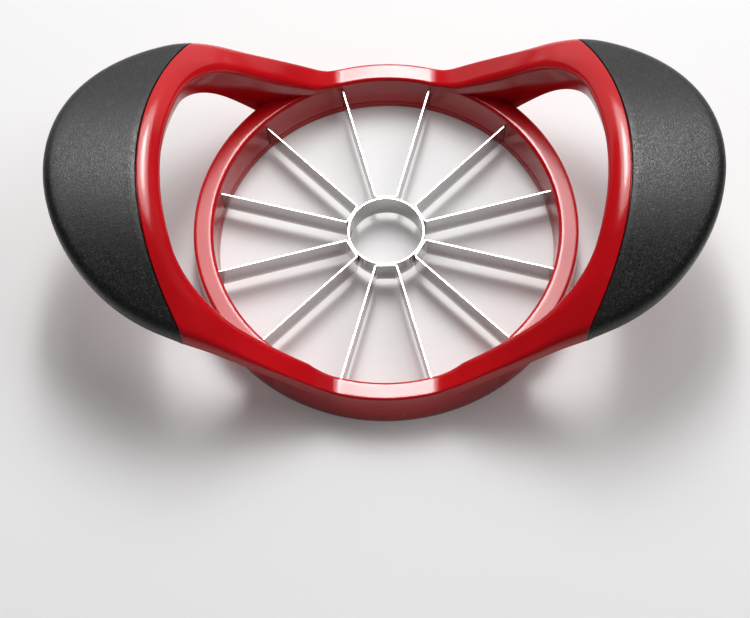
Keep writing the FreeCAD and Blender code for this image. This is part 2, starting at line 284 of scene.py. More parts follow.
def inside_grip_line(x, y):
    """Distance on the red side of the arc where the soft grip begins."""
    return GRIP_RADIUS - np.hypot(x - GRIP_CENTRE, y)


def rounding(distance, width, drop=None):
    """How far an edge, rounded over this width and drop, falls below the sharp one."""
    reach = 1.0 - np.clip(distance, 0.0, width) / max(width, 1e-6)
    return (width if drop is None else drop) * (1.0 - np.sqrt(np.maximum(1.0 - reach ** 2, 0.0)))


class Ray:
    """A ray across the right-hand handle, with the places where it meets each outline."""

    def __init__(self, degrees, sizes):
        self.angle = radians(degrees)
        r = np.arange(*RAY_SPAN, RAY_STEP)
        x, y = self.at(r)
        opening, outline = opening_distance(x, y), outline_depth(x, y)
        first = np.max(np.nonzero(opening < 0)[0])
        self.r, self.opening, self.outline = r[first:], opening[first:], outline[first:]
        self.inner = self.from_opening(0.0)
        self.outer = self.from_outline(0.0)
        self.grip = np.interp(0.0, -inside_grip_line(x, y), r)
        self.spare = max(self.outer - self.grip, 0.0)
        rim, top, band = (value / MM for value in (sizes.rim_round, sizes.top_round, sizes.band_round))
        near_edge = self.at(self.outer - 1.0)[0]
        handle = grown(self.at(self.inner)[0], BAND_SPAN)
        self.outer_round = rim + (top - rim) * grown(near_edge, OUTER_SPAN)
        self.inner_drop = INNER_ROUND + (top - INNER_ROUND) * grown(near_edge, INNER_SPAN)
        self.inner_round = self.inner_drop + (band - self.inner_drop) * handle
        self.lean = WEB_LEAN * handle
        middle = self.at((self.inner + self.outer) / 2)
        width = opening_distance(*middle) + outline_depth(*middle)
        shrink = min(1.0, WALL_SHARE * width / (self.inner_round + self.outer_round))
        self.outer_round *= shrink
        self.inner_round *= shrink
        self.inner_drop *= shrink

    def at(self, r):
        return RAY_CENTRE + r * cos(self.angle), r * sin(self.angle)

    def from_opening(self, distance):
        return np.interp(distance, self.opening, self.r)

    def from_outline(self, depth):
        return np.interp(-np.maximum(depth, RAY_INSET), -self.outline, self.r)

    def height(self, r):
        return top_height(*self.at(r))

    def points(self, r, z):
        x, y = self.at(np.asarray(r, float))
        return list(zip(x, y, np.asarray(z, float) + 0 * x))


def grip_corner(sizes):
    """Ray angle at which the grip's boundary meets the outer outline, found by halving a span."""
    low, high = 30.0, 70.0
    for _ in range(40):
        middle = (low + high) / 2
        if Ray(middle, sizes).spare > 0:
            low = middle
        else:
            high = middle
    return high


def arc_steps(count):
    """Numbers from 0 to 1, close together at first, for points round an edge."""
    return 1.0 - np.cos(np.linspace(0.0, pi / 2, count))


def moulding_section(ray, gap):
    """Closed section of the red moulding on a ray: inner wall, top, edge under the grip, lip, web."""
    fade = min(1.0, ray.spare)
    end = min(ray.outer, ray.grip - gap * fade)
    low = max(end, ray.from_outline(GRIP_BED)) if ray.spare > 0 else end
    inner = ray.from_opening(ray.inner_round * arc_steps(11))
    outer = ray.from_outline(ray.outer_round * arc_steps(8))[::-1]
    across = np.concatenate([np.linspace(inner[-1], outer[0], 11)[1:-1], outer])
    across = inner[-1] + (across - inner[-1]) * (end - inner[-1]) / (ray.outer - inner[-1])
    r = np.concatenate([inner, across])
    x, y = ray.at(r)
    z = top_height(x, y) - rounding(opening_distance(x, y), ray.inner_round, ray.inner_drop)
    z -= rounding(outline_depth(x, y), ray.outer_round)
    if ray.spare > 0:
        z -= rounding(inside_grip_line(x, y) - gap * fade, SEAM_ROUND * fade)
    section = ray.points(r, z)

    bed_end = min(ray.height(end) - GRIP_BED, z[-1] - LEAST_STEP)
    corner = BED_ROUND * min(1.0, low - end)
    bed = np.linspace(end, low - corner, 6)
    bed_z = np.minimum(ray.height(bed) - GRIP_BED, bed_end + (ray.height(bed) - ray.height(end)))
    bed_low = bed_z[-1] - corner
    section += ray.points(bed, bed_z) + ray.points([low], [bed_low])

    lip = ray.height(low) - LIP_DEPTH + GRIP_RETURN * grown(ray.spare, (0.0, GRIP_THICK))
    lip = min(lip, bed_low - BEVEL)
    width = low - ray.inner
    lip_in = low - min(LIP_WIDTH, LIP_SHARE * width)
    web = min(ray.from_opening(WEB_WIDTH), ray.inner + WEB_SHARE * width)
    under = [(low, lip + BEVEL), (low - BEVEL, lip), (lip_in + LIP_BEVEL, lip), (lip_in, lip + LIP_BEVEL)]
    under += [(r, ray.height(r) - SKIN) for r in np.linspace(lip_in, web, 9)]
    wall = ray.inner + ray.lean
    for r, z in ((web, BEVEL), (web - BEVEL, 0.0), (wall + BEVEL, 0.0), (wall, BEVEL)):
        x, y = ray.at(r)
        under.append((r, top_height(x, y) - web_depth(x) + z))
    r, z = np.array(under).T
    over_ring = 1.0 - grown(np.hypot(*ray.at(r)), RING_FADE)
    return section + ray.points(r, np.maximum(z, (CHANNEL_TOP + OVERLAP) * over_ring))


def root_mesh(side, sizes):
    """Root of one right-hand arm: solid over the ring, out to its wall and up to ROOT_TOP."""
    sections = []
    for degrees in np.arange(*ROOT_RAYS):
        ray = Ray(side * degrees, sizes)
        wall = np.interp(ROOT_WALL, np.hypot(*ray.at(ray.r)), ray.r)
        web = ray.from_opening(ROOT_INSET)
        if wall - web < ROOT_THINNEST:
            break
        across = np.linspace(wall, web, 8)
        top = np.minimum(ROOT_TOP, ray.height(across) - ROOT_COVER)
        sections.append(ray.points([web, wall], ROOT_FOOT) + ray.points(across, top))
    return swept("root", sections)


def grip_section(ray, gap):
    """Closed section of the soft grip on a ray: a shell over the top and round the outer edge."""
    start = ray.grip + gap * min(1.0, ray.spare)
    edge = SEAM_ROUND * min(1.0, (ray.outer - start) / 2)
    first = start + edge * arc_steps(5)
    last = ray.from_outline(ray.outer_round * arc_steps(9))[::-1]
    spread = np.linspace(first[-1], ray.outer, len(last) + 1)[1:]
    last = np.maximum(last, spread) if last[0] < spread[0] else last
    r = np.concatenate([first, np.linspace(first[-1], last[0], 13)[1:-1], last])
    x, y = ray.at(r)
    z = top_height(x, y) - rounding(outline_depth(x, y), ray.outer_round)
    z -= rounding(r - start, edge) if edge > 0 else 0
    section = ray.points(r, z)

    back = max(ray.from_outline(GRIP_THICK + LIP_WIDTH), start)
    wall = max(ray.from_outline(GRIP_THICK), start)
    soft = GRIP_SOFT * min(1.0, (ray.outer - back) / 2)
    foot = ray.height(ray.outer) - LIP_DEPTH
    back_foot, wall_foot = (ray.height(r) - LIP_DEPTH for r in (back, wall))
    under = [
        (ray.outer, foot + soft), (ray.outer - BEVEL_CUT * soft, foot + BEVEL_CUT * soft),
        (ray.outer - soft, foot), (back, back_foot), (back, back_foot + GRIP_RETURN),
        (wall, wall_foot + GRIP_RETURN),
    ]
    inner = np.linspace(wall, start, 12)
    step = z[0] - LEAST_STEP + ray.height(inner) - ray.height(start)
    r, z = np.array(under).T
    return section + ray.points(r, z) + ray.points(inner, np.minimum(ray.height(inner) - GRIP_THICK, step))


def rib_points(degrees):
    """Sections of one rib under the handle, from inner web to outer lip."""
    angle = radians(degrees)
    ahead = np.array([cos(angle), sin(angle)])
    beside = np.array([-ahead[1], ahead[0]]) * RIB_WIDTH / 2
    q = np.arange(5.0, HANDLE_RADIUS, 0.05)
    x, y = HANDLE_CENTRE + q * ahead[0], q * ahead[1]
    opening = opening_distance(x, y)
    first = np.max(np.nonzero(opening < 0)[0])
    low = np.interp(RIB_INSETS[0], opening[first:], q[first:])
    high = np.interp(-RIB_INSETS[1], -outline_depth(x, y)[first:], q[first:])
    sections = []
    for distance in np.linspace(low, high, 12):
        section = []
        for side, depth in ((-1, RIB_TOP), (1, RIB_TOP), (1, RIB_FOOT), (-1, RIB_FOOT)):
            px, py = (HANDLE_CENTRE, 0.0) + distance * ahead + side * beside
            section.append((px, py, top_height(px, py) - depth))
        sections.append(section)
    return sections


# ---- mesh making


def mesh_from(name, points, faces, edges=()):
    mesh = bpy.data.meshes.new(name)
    mesh.from_pydata([(x * MM, y * MM, z * MM) for x, y, z in points], list(edges), faces)
    return mesh


def tidy_mesh(mesh, merge=MERGE):
    """Merges doubles, drops empty faces and turns every face outwards."""
    work = bmesh.new()
    work.from_mesh(mesh)
    bmesh.ops.remove_doubles(work, verts=work.verts, dist=merge)
    bmesh.ops.dissolve_degenerate(work, dist=1e-7, edges=work.edges)
    bmesh.ops.recalc_face_normals(work, faces=work.faces)
    work.to_mesh(mesh)
    work.free()
    return mesh


def swept(name, sections):
    """Solid through equally long closed sections, capped at both ends."""
    count = len(sections[0])
    points = [point for section in sections for point in section]
    faces = []
    for a in range(0, len(points) - count, count):
        for j in range(count):
            k = (j + 1) % count
            faces.append((a + j, a + k, a + count + k, a + count + j))
    faces += [tuple(range(count)), tuple(range(len(points) - count, len(points)))]
    return tidy_mesh(mesh_from(name, points, faces))


def mirrored(mesh, name="left"):
    """Copy of a mesh on the other side of X = 0."""
    copy = mesh.copy()
    copy.name = name
    copy.transform(Matrix.Scale(-1, 4, Vector((1, 0, 0))))
    return tidy_mesh(copy)


def joined(meshes):
    """One mesh of solids that don't meet."""
    work = bmesh.new()
    for mesh in meshes:
        work.from_mesh(mesh)
    result = bpy.data.meshes.new("joined")
    work.to_mesh(result)
    work.free()
    return result


def turned_box(low, high, degrees=0.0):
    """Box between two corners, turned about Z."""
    sides = list(zip(low, high))
    corners = [Vector((x, y, z)) for x in sides[0] for y in sides[1] for z in sides[2]]
    turn = Matrix.Rotation(radians(degrees), 3, "Z")
    faces = [(0, 1, 3, 2), (4, 6, 7, 5), (0, 4, 5, 1), (2, 3, 7, 6), (0, 2, 6, 4), (1, 5, 7, 3)]
    return tidy_mesh(mesh_from("box", [turn @ corner for corner in corners], faces))


def lathe(name, outline, steps, x=0.0, y=0.0):
    """Closed solid of revolution of an outline (radius, height) that starts and ends on the axis."""
    count = len(outline)
    turns = [2 * pi * i / steps for i in range(steps)]
    points = [(x + r * cos(turn), y + r * sin(turn), z) for turn in turns for r, z in outline]
    faces = []
    for i in range(steps):
        a, b = i * count, (i + 1) % steps * count
        faces += [(a + j, a + j + 1, b + j + 1, b + j) for j in range(count - 1)]
    return tidy_mesh(mesh_from(name, points, faces))


def at_screws(outline, steps):
    """The same turned solid at the place of each clamp screw."""
    solids = []
    for degrees in SCREW_TURNS:
        x, y = (SCREW_CIRCLE * turn(radians(degrees)) for turn in (cos, sin))
        solids.append(lathe("hole", outline, steps, x, y))
    return solids


def new_object(name, mesh):
    item = bpy.data.objects.new(name, mesh)
    bpy.context.scene.collection.objects.link(item)
    return item


def settle(item):
    """Turns an object with its modifiers into plain mesh."""
    bpy.context.view_layer.update()
    graph = bpy.context.evaluated_depsgraph_get()
    mesh = bpy.data.meshes.new_from_object(item.evaluated_get(graph))
    item.modifiers.clear()
    old = item.data
    item.data = mesh
    mesh.name = item.name
    bpy.data.meshes.remove(old)
    return item


def combine(item, mesh, operation):
    """Joins a solid to the object, or cuts it away."""
    tool = new_object("tool", mesh)
    modifier = item.modifiers.new("solid", "BOOLEAN")
    modifier.operation = operation
    modifier.solver = "MANIFOLD"
    modifier.object = tool
    settle(item)
    bpy.data.objects.remove(tool)
    return item


def dress(item, slot, node, sharp=SHARP_ANGLE):
    """Gives a finished piece smooth shading, its material and its place in the frame."""
    item.data.polygons.foreach_set("use_smooth", [True] * len(item.data.polygons))
    item.data.set_sharp_from_angle(angle=radians(sharp))
    item.data.materials.clear()
    item.data.materials.append(finish(slot))
    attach(item, "root")
    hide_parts(node)


# ---- geometry node trees


def feed(tree, node, inputs):
    """Links sockets to a node's inputs, and sets plain values."""
    for key, value in inputs.items():
        if isinstance(value, bpy.types.NodeSocket):
            tree.links.new(value, node.inputs[key])
        else:
            node.inputs[key].default_value = value


def add_node(tree, kind, inputs=None, **settings):
    """Adds a node with these inputs and settings, next in the rows of nodes."""
    row, column = divmod(len(tree.nodes), NODES_IN_ROW)
    node = tree.nodes.new(kind)
    node.location = (column * NODE_SPACE, -row * NODE_SPACE)
    for name, value in settings.items():
        setattr(node, name, value)
    feed(tree, node, inputs or {})
    return node


def put(tree, kind, inputs=None, **settings):
    """Adds a node and gives its first output."""
    return add_node(tree, kind, inputs, **settings).outputs[0]


def spoken(key):
    """Name of a socket, from the name of an argument."""
    return key.replace("_", " ").capitalize()


def geometry_tree(name, **sizes):
    """New tree with these sizes and a material as inputs, and the sockets that give them."""
    tree = bpy.data.node_groups.new(name, "GeometryNodeTree")
    tree.interface.new_socket("Geometry", in_out="INPUT", socket_type="NodeSocketGeometry")
    for key, value in sizes.items():
        kind = "NodeSocketInt" if isinstance(value, int) else "NodeSocketFloat"
        tree.interface.new_socket(spoken(key), in_out="INPUT", socket_type=kind).default_value = value
    tree.interface.new_socket("Material", in_out="INPUT", socket_type="NodeSocketMaterial")
    tree.interface.new_socket("Geometry", in_out="OUTPUT", socket_type="NodeSocketGeometry")
    return tree, add_node(tree, "NodeGroupInput").outputs


def finish_tree(tree, geometry, material):
    """Ends a tree with real geometry in one material."""
    whole = put(tree, "GeometryNodeRealizeInstances", {"Geometry": geometry})
    painted = put(tree, "GeometryNodeSetMaterial", {"Geometry": whole, "Material": material})
    add_node(tree, "NodeGroupOutput", {0: painted})
    return tree


def sweep(tree, path, section, caps):
    """Sweeps a section along a path, upright all the way."""
    path = put(tree, "GeometryNodeSetCurveNormal", {"Curve": path}, mode="Z_UP")
    section = put(tree, "GeometryNodeMeshToCurve", {"Mesh": section})
    return put(tree, "GeometryNodeCurveToMesh", {"Curve": path, "Profile Curve": section, "Fill Caps": caps})


def ring_tree():
    """Sweeps the section that the object holds round a circle."""
    name = "Turned ring"
    if name in bpy.data.node_groups:
        return bpy.data.node_groups[name]
    tree, given = geometry_tree(name, middle_radius=0.05, steps=360)
    circle = put(tree, "GeometryNodeCurvePrimitiveCircle", {
        "Resolution": given["Steps"], "Radius": given["Middle radius"]})
    return finish_tree(tree, sweep(tree, circle, given["Geometry"], False), given["Material"])


def strip_tree():
    """Bends a flat strip along the object's path; the object also holds the strip's section."""
    tree, given = geometry_tree("Bent strip", turn=0.0, corner_steps=6)
    is_section = put(tree, "GeometryNodeInputNamedAttribute", {"Name": "section"}, data_type="BOOLEAN")
    bend = put(tree, "GeometryNodeInputNamedAttribute", {"Name": "bend"}, data_type="FLOAT")
    parts = add_node(tree, "GeometryNodeSeparateGeometry", {
        "Geometry": given["Geometry"], "Selection": is_section}).outputs
    path = put(tree, "GeometryNodeMeshToCurve", {"Mesh": parts["Inverted"]})
    bent = put(tree, "GeometryNodeFilletCurve", {
        "Curve": path, "Count": given["Corner steps"], "Radius": bend}, mode="POLY")
    strip = sweep(tree, bent, parts["Selection"], True)
    turn = put(tree, "ShaderNodeCombineXYZ", {"Z": given["Turn"]})
    placed = put(tree, "GeometryNodeTransform", {"Geometry": strip, "Rotation": turn})
    return finish_tree(tree, placed, given["Material"])


def circle_tree():
    """Repeats the object's own shape at equal steps round a circle, each turned further than the last."""
    tree, given = geometry_tree("Round a circle", count=6, radius=0.05, turn=0.0)
    circle = put(tree, "GeometryNodeMeshCircle", {"Vertices": given["Count"], "Radius": given["Radius"]})
    angle = maths(tree, put(tree, "GeometryNodeInputIndex"), given["Turn"], "MULTIPLY")
    turn = put(tree, "ShaderNodeCombineXYZ", {"Z": angle})
    copies = put(tree, "GeometryNodeInstanceOnPoints", {
        "Points": circle, "Instance": given["Geometry"], "Rotation": turn})
    return finish_tree(tree, copies, given["Material"])


def shaped_by(item, tree, slot, **values):
    """Runs a node tree on the object with these inputs, and keeps the result as plain mesh."""
    values["material"] = finish(slot)
    modifier = item.modifiers.new(tree.name, "NODES")
    modifier.node_group = tree
    named = {spoken(key): value for key, value in values.items()}
    for socket in tree.interface.items_tree:
        if socket.in_out == "INPUT" and socket.name in named:
            modifier[socket.identifier] = named[socket.name]
    settle(item)
    tidy_mesh(item.data)
    return item


def ring_object(name, outline, middle, slot, steps=360):
    """Ring with the section outline (radius, height); the sweep turns the section's -Y up."""
    edges = [(i, (i + 1) % len(outline)) for i in range(len(outline))]
    item = new_object(name, mesh_from(name, [(r - middle, -z, 0.0) for r, z in outline], [], edges))
    return shaped_by(item, ring_tree(), slot, middle_radius=middle * MM, steps=steps)


# ---- finishes


def maths(tree, one, two, operation="ADD"):
    return put(tree, "ShaderNodeMath", {0: one, 1: two}, operation=operation)


def ramp(tree, value, low, high, to_low=0.0, to_high=1.0):
    return put(tree, "ShaderNodeMapRange", {
        "Value": value, "From Min": low, "From Max": high, "To Min": to_low, "To Max": to_high})


def noise(tree, point, scale, detail):
    return put(tree, "ShaderNodeTexNoise", {"Vector": point, "Scale": scale, "Detail": detail})


def mixed(tree, factor, one, two):
    """Colour between two colours or sockets."""
    return add_node(tree, "ShaderNodeMix", {"Factor": factor, 6: one, 7: two}, data_type="RGBA").outputs[2]


def bump(tree, height, strength, distance):
    return put(tree, "ShaderNodeBump", {"Height": height, "Strength": strength, "Distance": distance})


def shade(colour, factor=1.0, more=0.0):
    """The colour times a factor, and a little more, with alpha 1."""
    return (*(channel * factor + more for channel in colour), 1.0)


def wear_group():
    """Uneven colour, fine grain, hairline scratches and worn edges, from a point on the surface."""
    name = "Surface wear"
    if name in bpy.data.node_groups:
        return bpy.data.node_groups[name]
    tree = bpy.data.node_groups.new(name, "ShaderNodeTree")
    tree.interface.new_socket("Vector", in_out="INPUT", socket_type="NodeSocketVector")
    for label in ("Drift scale", "Grain scale", "Scratch scale", "Edge start"):
        tree.interface.new_socket(label, in_out="INPUT", socket_type="NodeSocketFloat")
    for label in ("Drift", "Grain", "Scratches", "Edge"):
        tree.interface.new_socket(label, in_out="OUTPUT", socket_type="NodeSocketFloat")
    given = add_node(tree, "NodeGroupInput").outputs
    drift = noise(tree, given["Vector"], given["Drift scale"], 3.0)
    grain = noise(tree, given["Vector"], given["Grain scale"], 2.0)
    turned = put(tree, "ShaderNodeMapping", {
        "Vector": given["Vector"], "Rotation": (0.0, 0.0, 0.6), "Scale": (0.6, 22.0, 6.0)})
    line = ramp(tree, noise(tree, turned, given["Scratch scale"], 1.0), 0.70, 0.76)
    scratches = maths(tree, line, ramp(tree, drift, 0.5, 0.6), "MULTIPLY")
    pointed = add_node(tree, "ShaderNodeNewGeometry").outputs["Pointiness"]
    edge = ramp(tree, pointed, given["Edge start"], maths(tree, given["Edge start"], 0.08))
    worn = maths(tree, edge, drift, "MULTIPLY")
    add_node(tree, "NodeGroupOutput", {"Drift": drift, "Grain": grain, "Scratches": scratches, "Edge": worn})
    return tree


def wear_node(tree, point, drift, grain, scratch, edge):
    """Sockets of a wear group with these scales; edges are worn from a pointiness on."""
    return add_node(tree, "ShaderNodeGroup", {
        "Vector": point, "Drift scale": drift, "Grain scale": grain, "Scratch scale": scratch,
        "Edge start": edge}, node_tree=wear_group()).outputs


def red_plastic(tree, point, colour):
    """Glossy moulded plastic with a faint orange-peel skin and hairline scratches."""
    wear = wear_node(tree, point, drift=35.0, grain=900.0, scratch=140.0, edge=0.53)
    base = mixed(tree, ramp(tree, wear["Drift"], 0.35, 0.65), shade(colour, 0.86), shade(colour))
    base = mixed(tree, ramp(tree, wear["Edge"], 0.0, 1.0, 0.0, 0.35), base, shade(colour, 0.85, 0.05))
    rough = ramp(tree, wear["Drift"], 0.3, 0.7, 0.13, 0.19)
    rough = maths(tree, rough, ramp(tree, wear["Scratches"], 0.0, 1.0, 0.0, 0.1))
    relief = maths(tree, wear["Grain"], wear["Scratches"], "SUBTRACT")
    return {"Base Color": base, "Roughness": rough, "IOR": 1.46, "Normal": bump(tree, relief, 0.02, 0.0002)}


def grip_rubber(tree, point, colour):
    """Matt soft rubber with a fine spark-textured skin, and light specks painted into its colour as glints of
    that skin.
    """
    wear = wear_node(tree, point, drift=30.0, grain=2600.0, scratch=90.0, edge=0.54)
    grains = add_node(tree, "ShaderNodeTexVoronoi", {"Vector": point, "Scale": 2500.0}).outputs
    chance = add_node(tree, "ShaderNodeSeparateColor", {"Color": grains["Color"]}).outputs
    # light specks in the base colour are painted glints; the cells' bump and roughness below are the real
    # texture
    base = mixed(tree, ramp(tree, chance[0], 0.72, 1.0), shade(colour, 0.7), shade(colour, 3.4))
    base = mixed(tree, ramp(tree, wear["Edge"], 0.0, 1.0, 0.0, 0.5), base, shade(colour, 2.5))
    rough = ramp(tree, chance[1], 0.0, 1.0, 0.29, 0.55)
    rough = maths(tree, rough, ramp(tree, wear["Drift"], 0.3, 0.7, -0.03, 0.03))
    relief = maths(tree, ramp(tree, grains["Distance"], 0.0, 0.8, 0.6, 0.0), wear["Grain"])
    return {"Base Color": base, "Roughness": rough, "Normal": bump(tree, relief, 0.35, 0.0001)}


def blade_steel(tree, point, colour):
    """Bright rolled steel with fine lines along the strip."""
    wear = wear_node(tree, point, drift=60.0, grain=2500.0, scratch=160.0, edge=0.55)
    along = put(tree, "ShaderNodeMapping", {"Vector": point, "Scale": (1.0, 1.0, 60.0)})
    lines = noise(tree, along, 90.0, 4.0)
    base = mixed(tree, ramp(tree, lines, 0.3, 0.7), shade(colour, 0.86), shade(colour))
    rough = ramp(tree, lines, 0.3, 0.7, 0.16, 0.27)
    rough = maths(tree, rough, ramp(tree, wear["Scratches"], 0.0, 1.0, 0.0, 0.2))
    relief = bump(tree, lines, 0.08, 0.00005)
    return {"Metallic": 1.0, "Base Color": base, "Roughness": rough, "Normal": relief}


def screw_steel(tree, point, colour):
    """Satin plated steel with a faint grain."""
    wear = wear_node(tree, point, drift=300.0, grain=4000.0, scratch=500.0, edge=0.53)
    base = mixed(tree, wear["Drift"], shade(colour, 0.8), shade(colour))
    rough = ramp(tree, wear["Grain"], 0.3, 0.7, 0.25, 0.4)
    relief = bump(tree, wear["Grain"], 0.1, 0.00005)
    return {"Metallic": 1.0, "Base Color": base, "Roughness": rough, "Normal": relief}


def floor_paper(tree, point, colour):
    """Pale studio paper."""
    wear = wear_node(tree, point, drift=6.0, grain=700.0, scratch=5.0, edge=0.9)
    base = mixed(tree, wear["Drift"], shade(colour, 0.985), shade(colour))
    return {"Base Color": base, "Roughness": 0.9, "Specular IOR Level": 0.1}


def cleared(item):
    """Empty node tree of a material or world."""
    item.use_nodes = True
    item.node_tree.nodes.clear()
    return item.node_tree


def new_material(name, recipe, colour, lift=0.0):
    """Material with a recipe's shader; camera, mirrors and clear finishes see it brighter by the lift."""
    material = bpy.data.materials.new(name)
    tree = cleared(material)
    shader = add_node(tree, "ShaderNodeBsdfPrincipled")
    point = add_node(tree, "ShaderNodeTexCoord").outputs["Object"]
    feed(tree, shader, recipe(tree, point, colour))
    surface = shader.outputs[0]
    if lift:
        path = add_node(tree, "ShaderNodeLightPath").outputs
        seen = maths(tree, path["Is Camera Ray"], path["Is Glossy Ray"], "MAXIMUM")
        seen = maths(tree, seen, path["Is Transmission Ray"], "MAXIMUM")
        glow = put(tree, "ShaderNodeEmission", {
            "Color": (1, 1, 1, 1), "Strength": maths(tree, seen, lift, "MULTIPLY")})
        surface = put(tree, "ShaderNodeAddShader", {0: surface, 1: glow})
    add_node(tree, "ShaderNodeOutputMaterial", {"Surface": surface})
    return material


def finish(slot):
    """The material of that slot, made once from the scene's colours and told apart from the CAD's own."""
    for material in bpy.data.materials:
        if material.get("finish") == slot:
            return material
    recipes = {"red_plastic": red_plastic, "grip_rubber": grip_rubber, "blade_steel": blade_steel,
               "screw_steel": screw_steel}
    material = new_material(slot, recipes[slot], getattr(bpy.context.scene.slicer_finish, slot))
    material["finish"] = slot
    return material


# ---- settings


def length(name, description, default, low, high):
    """Property for a length; the three numbers are millimetres."""
    return bpy.props.FloatProperty(
        name=name, description=description, default=default * MM, min=low * MM, max=high * MM,
        unit="LENGTH", subtype="DISTANCE")


def colour(name, description, default):
    return bpy.props.FloatVectorProperty(
        name=name, description=description, default=default, min=0.0, max=1.0, size=3, subtype="COLOR")


def power(name, description, default):
    return bpy.props.FloatProperty(name=name, description=description, default=default, min=0.0, unit="POWER")


class SlicerSizes(bpy.types.PropertyGroup):
    rim_round: length("Rim edge radius", "Rounding of the flat rim's outer edge", 0.8, 0.1, 2.0)
    top_round: length("Handle edge radius", "Rounding of the handles' top edges", 2.8, 0.5, 4.0)
    band_round: length(
        "Handle band rounding", "Width over which the red band beside a grip curves down to the opening",
        6.6, 3.0, 6.8)
    grip_gap: length(
        "Grip seam", "Half the width of the seam between red moulding and grip", 0.14, 0.05, 0.5)
    blade_thickness: length("Blade thickness", "Thickness of the steel strips", 0.5, 0.3, 0.6)
    blade_corner: length(
        "Blade corner radius", "Bend radius beside the core cutter, on the strip's middle line",
        0.9, 0.5, 3.0)


class SlicerFinish(bpy.types.PropertyGroup):
    red_plastic: colour("Moulding colour", "Colour of the glossy moulding", (0.56, 0.0035, 0.008))
    grip_rubber: colour("Grip colour", "Colour of the soft grips", (0.0100, 0.0100, 0.0093))
    blade_steel: colour("Blade colour", "Colour of the blade steel", (0.68, 0.67, 0.66))
    screw_steel: colour("Screw colour", "Colour of the screws", (0.62, 0.62, 0.63))


class SlicerStage(bpy.types.PropertyGroup):
    floor: colour("Floor colour", "Colour of the studio floor", (0.80, 0.80, 0.80))
    floor_lift: bpy.props.FloatProperty(
        name="Floor lift", description="How much brighter the camera sees the floor", default=0.10,
        min=0.0, max=1.0)
    key: power("Key light", "Power of the tall soft light behind and above the slicer", 4.0)
    accent: power("Accent light", "Power of the narrow light in front of the key, seen in the flat rim", 2.5)
    fill: power("Fill light", "Power of the soft light high on the right, which no finish mirrors", 4.6)
    backdrop: power("Backdrop light", "Power of the wide light far behind the slicer", 20.0)
    sky: bpy.props.FloatProperty(
        name="Room light", description="Strength of the even light from all round", default=0.06, min=0.0)


# ---- operators


def ring_outline(rim):
    """Section of the ring: foot, outer wall, rounded rim, leaning inner wall, channel for the clamp ring."""
    def outer(z):
        return RING_OUTER_FOOT + (RING_OUTER_TOP - RING_OUTER_FOOT) * z / RING_TOP

    cut = BEVEL_CUT * BEVEL
    points = [(CHANNEL_OUTER + LIP_BEVEL, 0.0), (RING_OUTER_FOOT - BEVEL, 0.0), (RING_OUTER_FOOT - cut, cut)]
    points += [(outer(z), z) for z in (BEVEL, *OUTER_ROWS)]
    start, side = RING_TOP - rim, outer(RING_TOP - rim)
    points += [(side - rim + rim * cos(a), start + rim * sin(a))
               for a in np.linspace(0, pi / 2, 8)]
    points += [(r, RING_TOP) for r in TOP_ROWS]
    start, side = RING_TOP - INNER_ROUND, inner_radius(RING_TOP - INNER_ROUND)
    points += [(side + INNER_ROUND - INNER_ROUND * cos(a), start + INNER_ROUND * sin(a))
               for a in np.linspace(pi / 2, 0, 9)]
    points += [(inner_radius(z), z) for z in INNER_ROWS]
    points += [(inner_radius(CLAMP_TOP) + LIP_BEVEL, CLAMP_TOP), (CHANNEL_INNER, CLAMP_TOP),
               (CHANNEL_INNER, CHANNEL_TOP), (CHANNEL_OUTER, CHANNEL_TOP), (CHANNEL_OUTER, LIP_BEVEL)]
    return points


def rays_past(corner):
    """Ray angles from just past a corner to 0, close together at first."""
    return np.concatenate([corner - CORNER_STEPS, np.linspace(corner - 3.0, 0, RAY_COUNT)])


def both_sides(half):
    """Ray angles down to 0, and the same ones on the other side."""
    return np.concatenate([half, -half[::-1][1:]])


def moulding_rays(sizes):
    """Ray angles of the moulding's sections: close together where the arm and grip meet."""
    corner = grip_corner(sizes)
    arm = np.concatenate([np.linspace(RAY_FIRST, corner + 1.0, ARM_COUNT), corner + ARM_STEPS])
    return both_sides(np.concatenate([arm, rays_past(corner)]))


class SLICER_OT_frame(bpy.types.Operator):
    """Build the red moulding: ring, arms, handles and their ribs"""
    bl_idname = "slicer.frame"
    bl_label = "Ring and handles"

    def execute(self, context):
        sizes = context.scene.slicer_sizes
        gap = sizes.grip_gap / MM
        item = ring_object("ring_and_handles", ring_outline(sizes.rim_round / MM), RING_MIDDLE, "red_plastic")
        arms = swept("arms", [moulding_section(Ray(a, sizes), gap) for a in moulding_rays(sizes)])
        ribs = joined([swept("rib", rib_points(a)) for a in RIB_ANGLES])
        roots = joined([root_mesh(side, sizes) for side in (1, -1)])
        for solid in (arms, ribs, roots):
            combine(item, solid, "UNION")
            combine(item, mirrored(solid), "UNION")
        low = (CHANNEL_INNER - OVERLAP, -BOSS_WIDTH / 2, CLAMP_TOP + CLEARANCE)
        high = (CHANNEL_OUTER + OVERLAP, BOSS_WIDTH / 2, CHANNEL_TOP + OVERLAP)
        bosses = [turned_box(low, high, turn) for turn in SCREW_TURNS]
        combine(item, joined(bosses), "UNION")
        low = (SLOT_SPAN[0], -SLOT_WIDTH / 2, -CUT)
        high = (SLOT_SPAN[1], SLOT_WIDTH / 2, BLADE_TOP)
        slots = [turned_box(low, high, turn) for turn in LEG_TURNS]
        pilot = [(0, 0), (SCREW_SHANK, 0), (SCREW_SHANK, PILOT_TOP), (0, PILOT_TOP)]
        combine(item, joined(slots + at_screws(pilot, 24)), "DIFFERENCE")
        tidy_mesh(item.data, FINE_MERGE)
        dress(item, "red_plastic", "frame")
        return {"FINISHED"}


